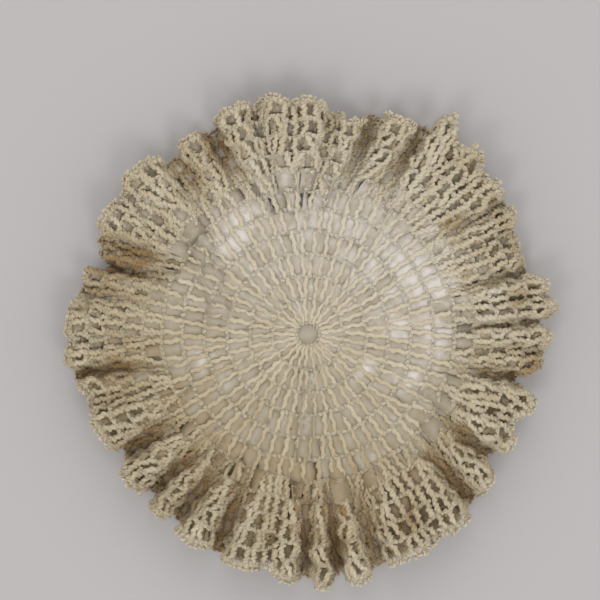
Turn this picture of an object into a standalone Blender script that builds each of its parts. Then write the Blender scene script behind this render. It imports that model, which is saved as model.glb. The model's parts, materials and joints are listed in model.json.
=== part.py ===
"""Ruffled lace doily, crocheted in one piece from the centre out.

A flat open-mesh centre lies on the table. Past it the rounds gain stitches, so the border is
longer than the circle that it grows from, and it stands up in a ring of uneven folds. The cloth
is one sheet: a middle surface through its thickness, with the larger gaps of the mesh left out,
thickened both ways.
"""

import math
from collections import namedtuple

import bmesh
import bpy
import numpy as np

MM = 0.001
FULL_TURN = 360.0

# The cloth, along its own surface from the centre out.
CLOTH_THICKNESS = 2.0 * MM
HOLE_RADIUS = 5.0 * MM
PLAIN_RADIUS = 20.0 * MM
CLOTH_REACH = 148.0 * MM
ROUND_PITCH = 12.5 * MM
FIRST_MESH_FOOT = 32.5 * MM

# The mesh: posts of the tall stitches, one round after another, and the chains that join them.
POST_WIDTH = 2.2 * MM
CHAIN_WIDTH = 2.4 * MM
POSTS_PER_ROUND = (44, 52, 60, 68, 68)
POST_WANDER = 0.09
HOLE_SIDES = 24
PLAIN_SIDES = 48

# The ruffle: how it leaves the table and how its folds fill out towards the rim.
DEEP_NECK = 81.0
SLOW_START = 0.25
EARLY_SPREAD = 0.13
VALLEY_FLOOR = 10.0
VALLEY_SLIT = 2.0
LEAST_DEPTH = 0.08
FLOOR_LIMIT = 0.12
EARLY_REACH = 0.20
CREST_SHARE = 0.30
OVERHANG = 1.55
FULL_FOLD_HEIGHT = 35.0 * MM
WIDE_FOLD = 20.0 * MM
RIM_RADIUS = 130.0 * MM
BULGE_POWER = 1.5
RUFFLE_ROWS = 4
COLUMN_LENGTH = 7.3 * MM
LEAST_COLUMNS = 2
WIDE_FLOOR = 5.0
END_BIAS = 0.07
UNEVENNESS = 1.2 * MM
UNEVEN_WAVES = (31, 47, 71)
UNEVEN_SEED = 7
POST_SEED = 8

# One row for each fold, anticlockwise: where its crest stands on the rim, how high and how far
# out, and how far from the centre it leaves the table; then the valley after it, where that
# valley starts at the foot of the ruffle, and how high and how far out it lies on the rim.
# Azimuths are in degrees, the rest in millimetres.
Fold = namedtuple("Fold", "crest height reach neck valley foot dip hem")
FOLDS = (
    Fold(crest=-7.5, height=22, reach=129, neck=74, valley=-3.5, foot=-5.0, dip=16, hem=129),
    Fold(crest=0.3, height=34, reach=131, neck=70, valley=3.4, foot=0.5, dip=13, hem=128),
    Fold(crest=6.6, height=36, reach=136, neck=70, valley=9.6, foot=9.0, dip=27, hem=131),
    Fold(crest=12.8, height=34, reach=133, neck=70, valley=15.6, foot=17.0, dip=5, hem=124),
    Fold(crest=20.5, height=20, reach=125, neck=76, valley=26.5, foot=26.0, dip=15, hem=126),
    Fold(crest=31.0, height=25, reach=130, neck=76, valley=34.3, foot=39.0, dip=12, hem=130),
    Fold(crest=38.0, height=33, reach=131, neck=72, valley=42.3, foot=45.5, dip=29, hem=130),
    Fold(crest=47.5, height=36, reach=136, neck=70, valley=51.8, foot=52.5, dip=28, hem=132),
    Fold(crest=56.6, height=34, reach=143, neck=68, valley=60.4, foot=63.5, dip=1, hem=130),
    Fold(crest=67.3, height=37, reach=128, neck=72, valley=73.2, foot=79.0, dip=2, hem=126),
    Fold(crest=78.8, height=35, reach=119, neck=64, valley=83.2, foot=89.5, dip=21, hem=122),
    Fold(crest=89.5, height=38, reach=129, neck=60, valley=93.3, foot=95.0, dip=32, hem=127),
    Fold(crest=99.0, height=38, reach=131, neck=60, valley=102.8, foot=100.0, dip=24, hem=129),
    Fold(crest=109.0, height=37, reach=131, neck=64, valley=115.6, foot=111.5, dip=1, hem=124),
    Fold(crest=121.3, height=30, reach=126, neck=72, valley=127.3, foot=132.0, dip=11, hem=121),
    Fold(crest=137.5, height=36, reach=131, neck=68, valley=143.4, foot=142.0, dip=28, hem=127),
    Fold(crest=149.5, height=35, reach=129, neck=66, valley=155.3, foot=150.0, dip=17, hem=126),
    Fold(crest=158.2, height=22, reach=122, neck=70, valley=160.9, foot=157.8, dip=1, hem=116),
    Fold(crest=164.5, height=26, reach=127, neck=74, valley=168.0, foot=167.0, dip=18, hem=126),
    Fold(crest=177.5, height=35, reach=131, neck=72, valley=182.2, foot=184.0, dip=28, hem=130),
    Fold(crest=185.4, height=34, reach=133, neck=74, valley=189.3, foot=193.0, dip=9, hem=129),
    Fold(crest=193.8, height=30, reach=127, neck=70, valley=197.3, foot=200.0, dip=23, hem=125),
    Fold(crest=204.5, height=36, reach=126, neck=68, valley=213.0, foot=213.5, dip=1, hem=121),
    Fold(crest=219.3, height=36, reach=127, neck=68, valley=225.4, foot=229.0, dip=2, hem=123),
    Fold(crest=229.4, height=35, reach=128, neck=70, valley=234.0, foot=238.5, dip=1, hem=125),
    Fold(crest=241.0, height=37, reach=130, neck=66, valley=247.0, foot=246.5, dip=1, hem=130),
    Fold(crest=252.8, height=37, reach=131, neck=66, valley=260.0, foot=258.5, dip=28, hem=129),
    Fold(crest=265.2, height=36, reach=134, neck=70, valley=269.3, foot=269.8, dip=2, hem=134),
    Fold(crest=273.4, height=36, reach=138, neck=72, valley=277.0, foot=277.8, dip=1, hem=134),
    Fold(crest=281.8, height=37, reach=137, neck=72, valley=286.8, foot=286.0, dip=5, hem=133),
    Fold(crest=294.3, height=37, reach=133, neck=68, valley=304.0, foot=304.0, dip=28, hem=132),
    Fold(crest=309.6, height=35, reach=133, neck=70, valley=314.6, foot=318.0, dip=2, hem=129),
    Fold(crest=320.8, height=31, reach=128, neck=74, valley=326.4, foot=330.0, dip=2, hem=121),
    Fold(crest=332.4, height=34, reach=126, neck=70, valley=336.6, foot=337.0, dip=27, hem=122),
    Fold(crest=342.6, height=35, reach=128, neck=68, valley=348.0, foot=346.5, dip=1, hem=117),
)

# Soft creases across the flat centre: from and to in millimetres from the middle, then how high
# the cloth lifts along the crease and how far to each side.
Crease = namedtuple("Crease", "from_x from_y to_x to_y lift spread")
CREASES = (
    Crease(from_x=-59, from_y=50, to_x=-49, to_y=12, lift=4.8, spread=6.5),
    Crease(from_x=0, from_y=-22, to_x=-3, to_y=-76, lift=3.0, spread=6.5),
)

COTTON_COLOUR = (0.62, 0.53, 0.38, 1.0)
COTTON_ROUGHNESS = 0.92


def valley_neck(fold, after):
    """Where a valley leaves the table: late if it is deep, with its crests if it is shallow."""
    depth = 1.0 - fold.dip / min(fold.height, after.height)
    beside = 0.5 * (fold.neck + after.neck)
    return beside + depth * (DEEP_NECK - beside)


def valley_sides(place):
    """Both sides of the floor of a valley: foot, azimuth, height, reach and neck of each."""
    fold = FOLDS[place]
    before = FOLDS[place - 1]
    after = FOLDS[(place + 1) % len(FOLDS)]
    depth = max(LEAST_DEPTH, 1.0 - fold.dip / min(fold.height, after.height))
    neck = valley_neck(fold, after)
    half_floor = 0.5 * VALLEY_FLOOR * depth
    near = min(half_floor, FLOOR_LIMIT * ((fold.foot - before.foot) % FULL_TURN))
    far = min(half_floor, FLOOR_LIMIT * ((after.foot - fold.foot) % FULL_TURN))
    slit = 0.5 * VALLEY_SLIT * depth
    return (
        (fold.foot - near, fold.valley - slit, fold.dip, fold.hem, neck),
        (fold.foot + far, fold.valley + slit, fold.dip, fold.hem, neck),
    )


def fold_stations():
    """Every crest and both sides of every valley floor, in turn round the rim."""
    last = valley_sides(len(FOLDS) - 1)
    rows = [(side[0] - FULL_TURN, side[1] - FULL_TURN) + side[2:] for side in last]
    for place, fold in enumerate(FOLDS):
        near_side, far_side = valley_sides(place)
        foot_before, rim_before = rows[-1][:2]
        share = (fold.crest - rim_before) / (near_side[1] - rim_before)
        crest_foot = foot_before + share * (near_side[0] - foot_before)
        rows.append((crest_foot, fold.crest, fold.height, fold.reach, fold.neck))
        rows.append(near_side)
        rows.append(far_side)
    foot, azimuth, height, reach, neck = np.array(rows[:-1], dtype=float).T
    return foot, azimuth, height * MM, reach * MM, neck * MM


FOOT, AZIMUTH, HEIGHT, REACH, NECK = fold_stations()


def climb(share):
    """Rises from 0 to 1 with a level start, as the border does from the table."""
    return share * share * (1.0 + SLOW_START) / (share + SLOW_START)


def spread(share):
    """Opens from 0 to 1, as a fan of stitches does: soon after its foot it is nearly as wide."""
    return share * share * (1.0 + EARLY_SPREAD) / (share * share + EARLY_SPREAD)


def wander(turn):
    """A small smooth unevenness round the turn, between -1 and 1."""
    draw = np.random.default_rng(UNEVEN_SEED)
    total = np.zeros_like(turn)
    for wave in UNEVEN_WAVES:
        total += np.sin(np.radians(turn) * wave + draw.uniform(0.0, 2.0 * math.pi))
    return total / len(UNEVEN_WAVES)


def crease_lift(x, y):
    """How far the flat centre is lifted where a soft crease crosses it."""
    lift = np.zeros_like(x)
    for crease in CREASES:
        start = np.array((crease.from_x, crease.from_y)) * MM
        along = np.array((crease.to_x, crease.to_y)) * MM - start
        share = ((x - start[0]) * along[0] + (y - start[1]) * along[1]) / along.dot(along)
        share = np.clip(share, 0.0, 1.0)
        off = np.hypot(x - start[0] - share * along[0], y - start[1] - share * along[1])
        off = np.clip(off / (crease.spread * MM), 0.0, 1.0)
        lift += crease.lift * MM * 0.5 * (1.0 + np.cos(math.pi * off))
    return lift


def drape(turn, cloth):
    """The middle surface of the cloth as it lies.

    turn is the azimuth in degrees at which a line of stitches leaves the flat centre, and cloth
    is the distance from the centre along the cloth.
    """
    turn = np.asarray(turn, dtype=float)
    cloth = np.asarray(cloth, dtype=float) + 0.0 * turn
    inside = (turn - FOOT[0]) % FULL_TURN + FOOT[0]
    half = np.clip(np.searchsorted(FOOT, inside, side="right") - 1, 0, len(FOOT) - 2)
    sigma = (inside - FOOT[half]) / (FOOT[half + 1] - FOOT[half])
    blend = 0.5 * (1.0 - np.cos(math.pi * sigma))
    height = HEIGHT[half] + (HEIGHT[half + 1] - HEIGHT[half]) * blend
    reach = REACH[half] + (REACH[half + 1] - REACH[half]) * blend
    neck = NECK[half] + (NECK[half + 1] - NECK[half]) * blend
    out = np.clip((cloth - neck) / (CLOTH_REACH - neck), 0.0, 1.0)

    span = AZIMUTH[half + 1] - AZIMUTH[half]
    depth = np.abs(HEIGHT[half + 1] - HEIGHT[half]) / FULL_FOLD_HEIGHT
    room = np.clip(np.radians(span) * RIM_RADIUS / WIDE_FOLD, 0.0, 1.0)
    from_crest = np.sign(HEIGHT[half] - HEIGHT[half + 1])
    widen = CREST_SHARE * from_crest * np.sin(math.pi * sigma)
    fold_over = OVERHANG * np.sin(2.0 * math.pi * sigma) / (2.0 * math.pi)
    bulge = span * depth * room * (widen + fold_over)

    rim_azimuth = AZIMUTH[half] + span * sigma
    azimuth = inside + (rim_azimuth - inside) * spread(out) + bulge * out**BULGE_POWER
    radius = np.minimum(cloth, neck)
    radius = radius + (reach - neck) * out * (1.0 + EARLY_REACH * (1.0 - out))
    radius = radius + UNEVENNESS * out * wander(turn)
    x = radius * np.cos(np.radians(azimuth))
    y = radius * np.sin(np.radians(azimuth))
    z = 0.5 * CLOTH_THICKNESS + height * climb(out) + crease_lift(x, y)
    return np.stack((x, y, z), axis=-1)


def add_ring(mesh, turns, cloth):
    """Points round the cloth, as pairs of azimuth and vertex in order of azimuth."""
    return [(turn, mesh.verts.new(point)) for turn, point in zip(turns, drape(turns, cloth))]


def loft(mesh, inner, outer):
    """Faces between two closed rings whose points differ in number and place."""
    inner = inner + [(inner[0][0] + FULL_TURN, inner[0][1])]
    outer = outer + [(outer[0][0] + FULL_TURN, outer[0][1])]
    near = far = 0
    while near < len(inner) - 1 or far < len(outer) - 1:
        outer_done = far == len(outer) - 1
        inner_left = near < len(inner) - 1
        if outer_done or (inner_left and inner[near + 1][0] <= outer[far + 1][0]):
            mesh.faces.new((inner[near][1], outer[far][1], inner[near + 1][1]))
            near += 1
        else:
            mesh.faces.new((inner[near][1], outer[far][1], outer[far + 1][1]))
            far += 1


def even_turns(count):
    """Azimuths of a ring with even steps, starting at the first valley's foot."""
    return FOOT[0] + np.arange(count) * FULL_TURN / count


def post_turns(count, cloth, seed):
    """Both edges of each post of a round, at a distance along the cloth."""
    pitch = FULL_TURN / count
    draw = np.random.default_rng(seed)
    middles = even_turns(count) + pitch * (0.5 + draw.uniform(-POST_WANDER, POST_WANDER, count))
    half_width = np.degrees(0.5 * POST_WIDTH / cloth)
    return np.stack((middles - half_width, middles + half_width), axis=1).ravel()


def mesh_round(mesh, count, foot, seed):
    """One round of posts with open gaps between them; returns its foot and top rings."""
    low = foot + 0.5 * CHAIN_WIDTH
    high = foot + ROUND_PITCH - 0.5 * CHAIN_WIDTH
    foot_ring = add_ring(mesh, post_turns(count, low, seed), low)
    top_ring = add_ring(mesh, post_turns(count, high, seed), high)
    for edge in range(0, 2 * count, 2):
        mesh.faces.new(
            (foot_ring[edge][1], top_ring[edge][1], top_ring[edge + 1][1], foot_ring[edge + 1][1])
        )
    return foot_ring, top_ring


def ruffle_turns():
    """Azimuths of the ruffle's columns: by the length of each side, closer at crest and valley."""
    turns = []
    for half in range(len(FOOT) - 1):
        across = math.radians(AZIMUTH[half + 1] - AZIMUTH[half]) * RIM_RADIUS
        side = math.hypot(across, HEIGHT[half + 1] - HEIGHT[half])
        floor = HEIGHT[half + 1] == HEIGHT[half]
        wide_floor = FOOT[half + 1] - FOOT[half] > WIDE_FLOOR
        least = LEAST_COLUMNS if wide_floor or not floor else 1
        columns = max(least, round(side / COLUMN_LENGTH))
        share = np.arange(columns) / columns
        share = share - END_BIAS * np.sin(2.0 * math.pi * share)
        turns.extend(FOOT[half] + share * (FOOT[half + 1] - FOOT[half]))
    return np.array(turns)


def cloth_mesh():
    """The middle surface: plain round the hole, open mesh, then the ruffle out to the rim."""
    mesh = bmesh.new()
    hole = add_ring(mesh, even_turns(HOLE_SIDES), HOLE_RADIUS)
    plain = add_ring(mesh, even_turns(PLAIN_SIDES), PLAIN_RADIUS)
    loft(mesh, hole, plain)
    ring_before = plain
    for place, count in enumerate(POSTS_PER_ROUND):
        foot = FIRST_MESH_FOOT + place * ROUND_PITCH
        foot_ring, top_ring = mesh_round(mesh, count, foot, POST_SEED + place)
        loft(mesh, ring_before, foot_ring)
        ring_before = top_ring

    mesh_end = FIRST_MESH_FOOT + len(POSTS_PER_ROUND) * ROUND_PITCH + 0.5 * CHAIN_WIDTH
    turns = ruffle_turns()
    for cloth in np.linspace(mesh_end, CLOTH_REACH, RUFFLE_ROWS + 1):
        ring = add_ring(mesh, turns, cloth)
        loft(mesh, ring_before, ring)
        ring_before = ring
    bmesh.ops.recalc_face_normals(mesh, faces=mesh.faces)
    return mesh


def cotton_material():
    """Ecru crochet cotton, matt."""
    material = bpy.data.materials.new("ecru_cotton")
    material.use_nodes = True
    shader = material.node_tree.nodes["Principled BSDF"]
    shader.inputs["Base Color"].default_value = COTTON_COLOUR
    shader.inputs["Roughness"].default_value = COTTON_ROUGHNESS
    shader.inputs["Metallic"].default_value = 0.0
    return material


def settle(doily):
    """Moves the mesh so that the middle of its box, at the bottom, is the origin."""
    graph = bpy.context.evaluated_depsgraph_get()
    corners = np.array(doily.evaluated_get(graph).bound_box)
    low, high = corners.min(axis=0), corners.max(axis=0)
    middle = 0.5 * (low + high)
    for vertex in doily.data.vertices:
        vertex.co.x -= middle[0]
        vertex.co.y -= middle[1]
        vertex.co.z -= low[2]


def make_doily(collection):
    """The doily as one thick sheet."""
    surface = cloth_mesh()
    data = bpy.data.meshes.new("doily")
    surface.to_mesh(data)
    surface.free()
    data.shade_smooth()
    doily = bpy.data.objects.new("doily", data)
    collection.objects.link(doily)
    data.materials.append(cotton_material())
    thicken = doily.modifiers.new("cloth_thickness", "SOLIDIFY")
    thicken.thickness = CLOTH_THICKNESS
    thicken.offset = 0.0
    settle(doily)
    return doily


def main():
    for old in list(bpy.data.objects):
        bpy.data.objects.remove(old, do_unlink=True)
    collection = bpy.data.collections.new("lace_doily")
    bpy.context.scene.collection.children.link(collection)
    make_doily(collection)


main()
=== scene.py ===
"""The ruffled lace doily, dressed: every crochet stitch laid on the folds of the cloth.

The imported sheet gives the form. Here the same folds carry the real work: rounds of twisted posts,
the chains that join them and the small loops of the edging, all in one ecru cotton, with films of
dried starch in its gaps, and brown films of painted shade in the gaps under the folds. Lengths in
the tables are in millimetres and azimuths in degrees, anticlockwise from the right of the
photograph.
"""

import json
import math
from collections import namedtuple

import bmesh
import bpy
import numpy as np
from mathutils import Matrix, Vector


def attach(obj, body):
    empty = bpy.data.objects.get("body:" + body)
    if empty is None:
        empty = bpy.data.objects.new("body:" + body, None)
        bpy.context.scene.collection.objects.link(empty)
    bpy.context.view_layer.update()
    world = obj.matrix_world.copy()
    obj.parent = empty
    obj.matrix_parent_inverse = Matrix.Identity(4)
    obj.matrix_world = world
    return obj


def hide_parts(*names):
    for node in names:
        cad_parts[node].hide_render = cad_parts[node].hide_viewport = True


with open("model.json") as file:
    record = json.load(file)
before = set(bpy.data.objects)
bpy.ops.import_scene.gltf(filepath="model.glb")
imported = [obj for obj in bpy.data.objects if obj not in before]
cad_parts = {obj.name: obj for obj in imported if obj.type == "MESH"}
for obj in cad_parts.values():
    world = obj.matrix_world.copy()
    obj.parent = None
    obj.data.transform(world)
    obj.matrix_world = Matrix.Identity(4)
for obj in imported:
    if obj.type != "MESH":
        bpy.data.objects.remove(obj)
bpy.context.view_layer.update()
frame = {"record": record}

MM = 0.001
FULL_TURN = 360.0

# The cloth, along its own surface from the centre out, as in the solid.
CLOTH_THICKNESS = 2.0 * MM
CLOTH_REACH = 148.0 * MM

# How the folds rise and spread from the flat centre, and how their sides lean over.
DEEP_NECK = 81.0
SLOW_START = 0.25
EARLY_SPREAD = 0.13
VALLEY_FLOOR = 10.0
VALLEY_SLIT = 2.0
LEAST_DEPTH = 0.08
FLOOR_LIMIT = 0.12
EARLY_REACH = 0.20
CREST_SHARE = 0.30
OVERHANG = 1.55
FULL_FOLD_HEIGHT = 35.0 * MM
WIDE_FOLD = 20.0 * MM
RIM_RADIUS = 130.0 * MM
BULGE_POWER = 1.5
UNEVENNESS = 1.2 * MM
UNEVEN_WAVES = (31, 47, 71)
UNEVEN_SEED = 7

# How far the face that the doily rests on is marked from the middle of the flat centre.
REST_MARK_FROM_CENTRE = Vector((0.013, 0.0, 0.0))

# One row for each fold, anticlockwise: where its crest stands on the rim, how high and how far
# out, and how far from the centre it leaves the table; then the valley after it, where that
# valley starts at the foot of the ruffle, and how high and how far out it lies on the rim.
Fold = namedtuple("Fold", "crest height reach neck valley foot dip hem")
FOLDS = (
    Fold(crest=-7.5, height=22, reach=129, neck=74, valley=-3.5, foot=-5.0, dip=16, hem=129),
    Fold(crest=0.3, height=34, reach=131, neck=70, valley=3.4, foot=0.5, dip=13, hem=128),
    Fold(crest=6.6, height=36, reach=136, neck=70, valley=9.6, foot=9.0, dip=27, hem=131),
    Fold(crest=12.8, height=34, reach=133, neck=70, valley=15.6, foot=17.0, dip=5, hem=124),
    Fold(crest=20.5, height=20, reach=125, neck=76, valley=26.5, foot=26.0, dip=15, hem=126),
    Fold(crest=31.0, height=25, reach=130, neck=76, valley=34.3, foot=39.0, dip=12, hem=130),
    Fold(crest=38.0, height=33, reach=131, neck=72, valley=42.3, foot=45.5, dip=29, hem=130),
    Fold(crest=47.5, height=36, reach=136, neck=70, valley=51.8, foot=52.5, dip=28, hem=132),
    Fold(crest=56.6, height=34, reach=143, neck=68, valley=60.4, foot=63.5, dip=1, hem=130),
    Fold(crest=67.3, height=37, reach=128, neck=72, valley=73.2, foot=79.0, dip=2, hem=126),
    Fold(crest=78.8, height=35, reach=119, neck=64, valley=83.2, foot=89.5, dip=21, hem=122),
    Fold(crest=89.5, height=38, reach=129, neck=60, valley=93.3, foot=95.0, dip=32, hem=127),
    Fold(crest=99.0, height=38, reach=131, neck=60, valley=102.8, foot=100.0, dip=24, hem=129),
    Fold(crest=109.0, height=37, reach=131, neck=64, valley=115.6, foot=111.5, dip=1, hem=124),
    Fold(crest=121.3, height=30, reach=126, neck=72, valley=127.3, foot=132.0, dip=11, hem=121),
    Fold(crest=137.5, height=36, reach=131, neck=68, valley=143.4, foot=142.0, dip=28, hem=127),
    Fold(crest=149.5, height=35, reach=129, neck=66, valley=155.3, foot=150.0, dip=17, hem=126),
    Fold(crest=158.2, height=22, reach=122, neck=70, valley=160.9, foot=157.8, dip=1, hem=116),
    Fold(crest=164.5, height=26, reach=127, neck=74, valley=168.0, foot=167.0, dip=18, hem=126),
    Fold(crest=177.5, height=35, reach=131, neck=72, valley=182.2, foot=184.0, dip=28, hem=130),
    Fold(crest=185.4, height=34, reach=133, neck=74, valley=189.3, foot=193.0, dip=9, hem=129),
    Fold(crest=193.8, height=30, reach=127, neck=70, valley=197.3, foot=200.0, dip=23, hem=125),
    Fold(crest=204.5, height=36, reach=126, neck=68, valley=213.0, foot=213.5, dip=1, hem=121),
    Fold(crest=219.3, height=36, reach=127, neck=68, valley=225.4, foot=229.0, dip=2, hem=123),
    Fold(crest=229.4, height=35, reach=128, neck=70, valley=234.0, foot=238.5, dip=1, hem=125),
    Fold(crest=241.0, height=37, reach=130, neck=66, valley=247.0, foot=246.5, dip=1, hem=130),
    Fold(crest=252.8, height=37, reach=131, neck=66, valley=260.0, foot=258.5, dip=28, hem=129),
    Fold(crest=265.2, height=36, reach=134, neck=70, valley=269.3, foot=269.8, dip=2, hem=134),
    Fold(crest=273.4, height=36, reach=138, neck=72, valley=277.0, foot=277.8, dip=1, hem=134),
    Fold(crest=281.8, height=37, reach=137, neck=72, valley=286.8, foot=286.0, dip=5, hem=133),
    Fold(crest=294.3, height=37, reach=133, neck=68, valley=304.0, foot=304.0, dip=28, hem=132),
    Fold(crest=309.6, height=35, reach=133, neck=70, valley=314.6, foot=318.0, dip=2, hem=129),
    Fold(crest=320.8, height=31, reach=128, neck=74, valley=326.4, foot=330.0, dip=2, hem=121),
    Fold(crest=332.4, height=34, reach=126, neck=70, valley=336.6, foot=337.0, dip=27, hem=122),
    Fold(crest=342.6, height=35, reach=128, neck=68, valley=348.0, foot=346.5, dip=1, hem=117),
)

# Soft creases across the flat centre: from and to in millimetres from the middle, then how high
# the cloth lifts along the crease and how far to each side.
Crease = namedtuple("Crease", "from_x from_y to_x to_y lift spread")
CREASES = (
    Crease(from_x=-59, from_y=50, to_x=-49, to_y=12, lift=4.8, spread=6.5),
    Crease(from_x=0, from_y=-22, to_x=-3, to_y=-76, lift=3.0, spread=6.5),
)

# Every round from the centre out: how far along the cloth its chain lies, how many posts stand
# under that chain, how wide its posts and the links of its chain are against the full cotton, and
# how far the feet of the posts gather into the stitches below.
Round = namedtuple("Round", "chain posts width link gather")
ROUNDS = (
    Round(chain=7.5, posts=0, width=0.0, link=0.75, gather=0.0),
    Round(chain=20.0, posts=25, width=0.80, link=0.85, gather=0.0),
    Round(chain=32.5, posts=36, width=0.92, link=0.92, gather=0.30),
    Round(chain=45.0, posts=44, width=0.96, link=0.95, gather=0.35),
    Round(chain=57.5, posts=52, width=0.96, link=0.95, gather=0.35),
    Round(chain=70.0, posts=60, width=0.98, link=0.98, gather=0.35),
    Round(chain=82.5, posts=68, width=1.04, link=1.02, gather=0.35),
    Round(chain=94.8, posts=112, width=1.12, link=1.05, gather=0.45),
    Round(chain=107.1, posts=150, width=1.22, link=1.10, gather=0.55),
    Round(chain=119.4, posts=180, width=1.22, link=1.10, gather=0.55),
    Round(chain=131.7, posts=216, width=1.20, link=1.15, gather=0.55),
    Round(chain=144.0, posts=252, width=1.18, link=1.25, gather=0.50),
)
FIRST_OPEN_ROUND = 3
LAST_EVEN_ROUND = 7
OPEN_POSTS = 68
OPEN_POST_WANDER = 0.09
POST_SEED = 8

# Places where the cotton has browned, by azimuth and distance from the centre on the table.
Stain = namedtuple("Stain", "azimuth radius spread strength")
STAINS = (
    Stain(115.6, 116, 9, 0.28),
    Stain(125.5, 108, 8, 0.35),
    Stain(154.5, 100, 9, 0.40),
    Stain(161.0, 112, 11, 0.35),
    Stain(188.0, 106, 10, 0.30),
    Stain(37.5, 101, 8, 0.50),
    Stain(9.5, 116, 7, 0.50),
    Stain(352.0, 124, 8, 0.45),
    Stain(299.0, 115, 8, 0.40),
    Stain(278.0, 118, 7, 0.40),
)


def valley_neck(fold, after):
    """Where a valley leaves the table: late if it is deep, with its crests if it is shallow."""
    depth = 1.0 - fold.dip / min(fold.height, after.height)
    beside = 0.5 * (fold.neck + after.neck)
    return beside + depth * (DEEP_NECK - beside)


def valley_sides(place):
    """Both sides of the floor of a valley: foot, azimuth, height, reach and neck of each."""
    fold = FOLDS[place]
    before = FOLDS[place - 1]
    after = FOLDS[(place + 1) % len(FOLDS)]
    depth = max(LEAST_DEPTH, 1.0 - fold.dip / min(fold.height, after.height))
    neck = valley_neck(fold, after)
    half_floor = 0.5 * VALLEY_FLOOR * depth
    near = min(half_floor, FLOOR_LIMIT * ((fold.foot - before.foot) % FULL_TURN))
    far = min(half_floor, FLOOR_LIMIT * ((after.foot - fold.foot) % FULL_TURN))
    slit = 0.5 * VALLEY_SLIT * depth
    return (
        (fold.foot - near, fold.valley - slit, fold.dip, fold.hem, neck),
        (fold.foot + far, fold.valley + slit, fold.dip, fold.hem, neck),
    )


def fold_stations():
    """Every crest and both sides of every valley floor, in turn round the rim."""
    last = valley_sides(len(FOLDS) - 1)
    rows = [(side[0] - FULL_TURN, side[1] - FULL_TURN) + side[2:] for side in last]
    for place, fold in enumerate(FOLDS):
        near_side, far_side = valley_sides(place)
        foot_before, rim_before = rows[-1][:2]
        share = (fold.crest - rim_before) / (near_side[1] - rim_before)
        crest_foot = foot_before + share * (near_side[0] - foot_before)
        rows.append((crest_foot, fold.crest, fold.height, fold.reach, fold.neck))
        rows.append(near_side)
        rows.append(far_side)
    foot, azimuth, height, reach, neck = np.array(rows[:-1], dtype=float).T
    return foot, azimuth, height * MM, reach * MM, neck * MM


FOOT, AZIMUTH, HEIGHT, REACH, NECK = fold_stations()


def climb(share):
    """Rises from 0 to 1 with a level start, as the border does from the table."""
    return share * share * (1.0 + SLOW_START) / (share + SLOW_START)


def spread(share):
    """Opens from 0 to 1, as a fan of stitches does: soon after its foot it is nearly as wide."""
    return share * share * (1.0 + EARLY_SPREAD) / (share * share + EARLY_SPREAD)


def wander(turn):
    """A small smooth unevenness round the turn, between -1 and 1."""
    draw = np.random.default_rng(UNEVEN_SEED)
    total = np.zeros_like(turn)
    for wave in UNEVEN_WAVES:
        total += np.sin(np.radians(turn) * wave + draw.uniform(0.0, 2.0 * math.pi))
    return total / len(UNEVEN_WAVES)


def crease_lift(x, y):
    """How far the flat centre is lifted where a soft crease crosses it."""
    lift = np.zeros_like(x)
    for crease in CREASES:
        start = np.array((crease.from_x, crease.from_y)) * MM
        along = np.array((crease.to_x, crease.to_y)) * MM - start
        share = ((x - start[0]) * along[0] + (y - start[1]) * along[1]) / along.dot(along)
        share = np.clip(share, 0.0, 1.0)
        off = np.hypot(x - start[0] - share * along[0], y - start[1] - share * along[1])
        off = np.clip(off / (crease.spread * MM), 0.0, 1.0)
        lift += crease.lift * MM * 0.5 * (1.0 + np.cos(math.pi * off))
    return lift


def drape(turn, cloth):
    """The middle surface of the cloth as it lies, from the middle of the flat centre.

    turn is the azimuth in degrees at which a line of stitches leaves the flat centre, and cloth
    is the distance from the centre along the cloth.
    """
    turn = np.asarray(turn, dtype=float)
    cloth = np.asarray(cloth, dtype=float) + 0.0 * turn
    turn = turn + 0.0 * cloth
    inside = (turn - FOOT[0]) % FULL_TURN + FOOT[0]
    half = np.clip(np.searchsorted(FOOT, inside, side="right") - 1, 0, len(FOOT) - 2)
    sigma = (inside - FOOT[half]) / (FOOT[half + 1] - FOOT[half])
    blend = 0.5 * (1.0 - np.cos(math.pi * sigma))
    height = HEIGHT[half] + (HEIGHT[half + 1] - HEIGHT[half]) * blend
    reach = REACH[half] + (REACH[half + 1] - REACH[half]) * blend
    neck = NECK[half] + (NECK[half + 1] - NECK[half]) * blend
    out = np.clip((cloth - neck) / (CLOTH_REACH - neck), 0.0, 1.2)

    span = AZIMUTH[half + 1] - AZIMUTH[half]
    depth = np.abs(HEIGHT[half + 1] - HEIGHT[half]) / FULL_FOLD_HEIGHT
    room = np.clip(np.radians(span) * RIM_RADIUS / WIDE_FOLD, 0.0, 1.0)
    from_crest = np.sign(HEIGHT[half] - HEIGHT[half + 1])
    widen = CREST_SHARE * from_crest * np.sin(math.pi * sigma)
    fold_over = OVERHANG * np.sin(2.0 * math.pi * sigma) / (2.0 * math.pi)
    bulge = span * depth * room * (widen + fold_over)

    rim_azimuth = AZIMUTH[half] + span * sigma
    azimuth = inside + (rim_azimuth - inside) * spread(out) + bulge * out**BULGE_POWER
    radius = np.minimum(cloth, neck)
    radius = radius + (reach - neck) * out * (1.0 + EARLY_REACH * (1.0 - out))
    radius = radius + UNEVENNESS * out * wander(turn)
    x = radius * np.cos(np.radians(azimuth))
    y = radius * np.sin(np.radians(azimuth))
    z = 0.5 * CLOTH_THICKNESS + height * climb(out) + crease_lift(x, y)
    return np.stack((x, y, z), axis=-1)


def ruffle_share(turn, cloth):
    """0 on the flat centre and 1 at the rim; then how high the fold stands, from 0 to 1."""
    inside = (turn - FOOT[0]) % FULL_TURN + FOOT[0]
    neck = np.interp(inside, FOOT, NECK)
    height = np.interp(inside, FOOT, HEIGHT) / FULL_FOLD_HEIGHT
    return np.clip((cloth - neck) / (CLOTH_REACH - neck), 0.0, 1.0), np.clip(height, 0.0, 1.0)


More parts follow.
